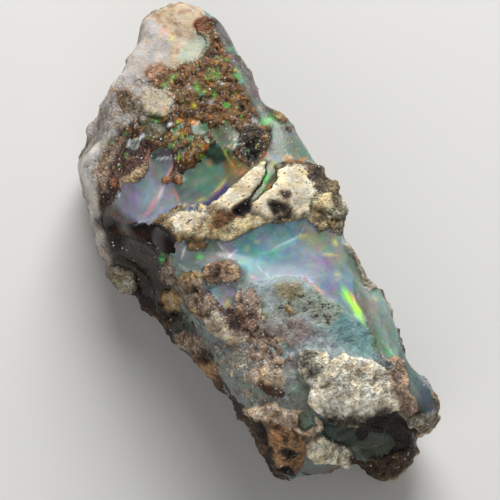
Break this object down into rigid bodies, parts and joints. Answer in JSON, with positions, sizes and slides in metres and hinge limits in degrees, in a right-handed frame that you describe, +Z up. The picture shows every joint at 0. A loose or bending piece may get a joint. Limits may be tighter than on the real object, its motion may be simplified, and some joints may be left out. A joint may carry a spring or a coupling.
{
  "type": "rough precious opal",
  "caption": "Broken, elongated block of rough play-of-colour opal with cream and brown host rock on it, lying on its flat back.",
  "frame": {"origin": "on the resting plane, under the centre of the stone's bounding box", "axes": "+Z up from the flat back through the front face, +Y along the stone towards its narrow tip, +X to the side that carries the translucent knob and lobe"},
  "size_m": [0.0126, 0.0297, 0.0097],
  "materials": {
    "opal_with_host_rock": "glassy translucent blue-grey opal windows with play of colour, between matt cream and brown host rock"
  },
  "bodies": {
    "root": {"rough_opal": "opal_with_host_rock"}
  },
  "joints": []
}
